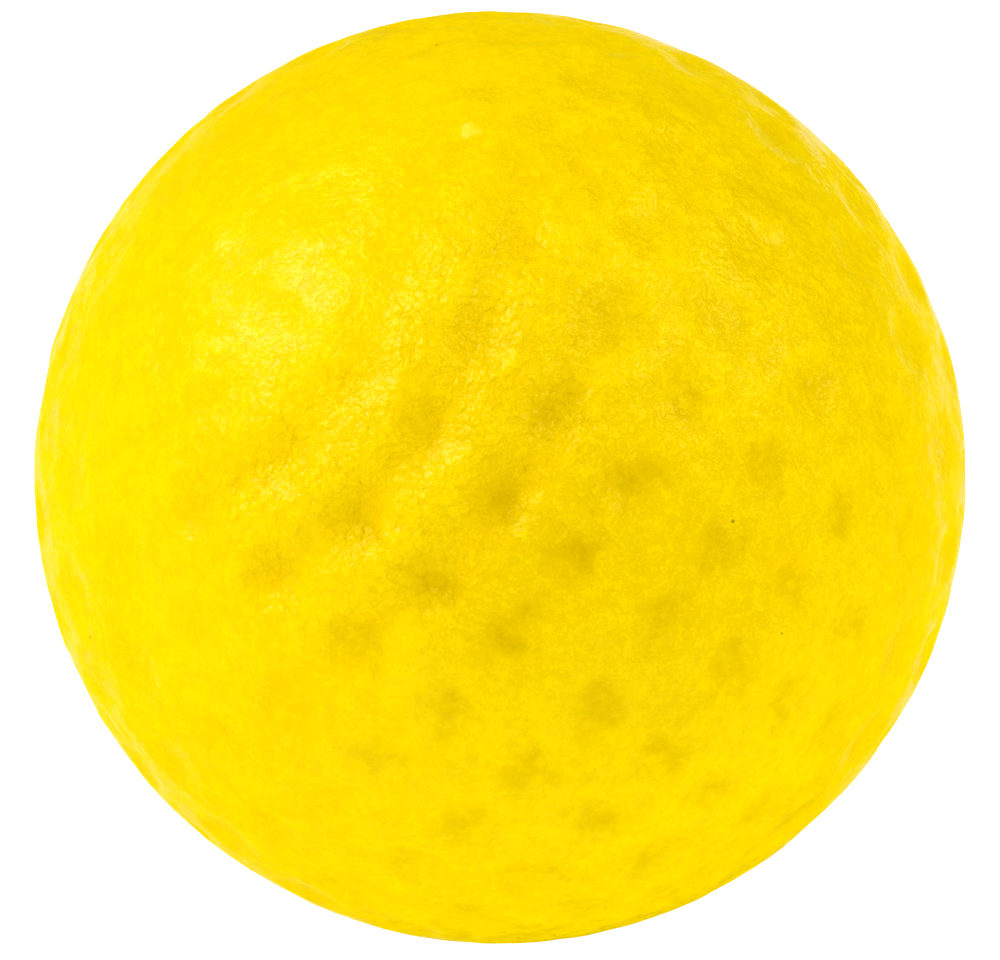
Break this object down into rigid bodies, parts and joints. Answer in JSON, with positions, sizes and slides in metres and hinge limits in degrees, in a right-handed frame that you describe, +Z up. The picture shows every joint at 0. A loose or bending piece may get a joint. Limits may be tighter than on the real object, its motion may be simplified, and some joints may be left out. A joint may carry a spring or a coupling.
{
  "type": "foam golf ball",
  "caption": "Light foam practice golf ball: soft foam core, dense dimpled skin and a glossy yellow colour coat, for indoor and garden practice.",
  "frame": {"origin": "centre of the ball", "axes": "+Z up as the ball lies in the picture, -Y towards the viewer, +X to the viewer's right"},
  "size_m": [0.0426, 0.0426, 0.0426],
  "materials": {
    "core_foam": "open-cell polyurethane foam",
    "skin_foam": "dense moulded polyurethane foam skin",
    "yellow_coat": "glossy flexible colour coat, finely wrinkled"
  },
  "bodies": {
    "root": {"foam_core": "core_foam", "foam_skin": "skin_foam", "colour_coat": "yellow_coat"}
  },
  "joints": []
}
